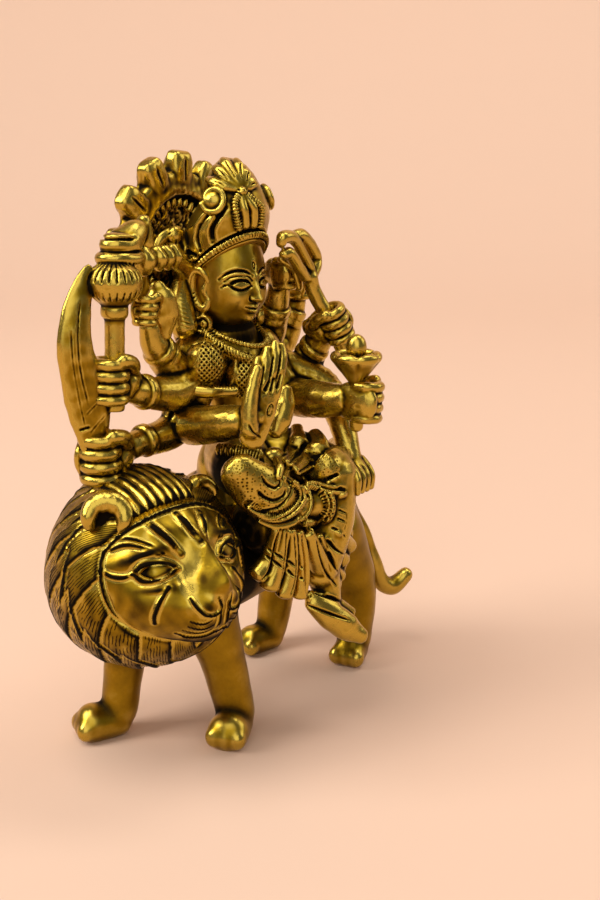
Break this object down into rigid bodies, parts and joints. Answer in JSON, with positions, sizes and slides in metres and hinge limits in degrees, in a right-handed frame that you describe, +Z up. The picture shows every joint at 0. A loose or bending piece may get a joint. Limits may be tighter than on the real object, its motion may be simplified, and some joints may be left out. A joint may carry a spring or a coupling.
{
  "type": "durga figure",
  "caption": "Solid brass figure of a many-armed goddess seated on a standing lion, holding sword, mace, conch, bud, lotus and trident, one palm raised, with toothed halo.",
  "frame": {"origin": "bottom centre of the figure's bounding box, on the plane that the four paws stand on", "axes": "+Z up; +X from the lion's head towards its tail; the goddess looks along -Y"},
  "size_m": [0.1262, 0.0618, 0.1501],
  "materials": {
    "brass": "satin hand-finished brass with near-black patina in the recesses"
  },
  "bodies": {
    "root": {"durga_on_lion": "brass"}
  },
  "joints": []
}
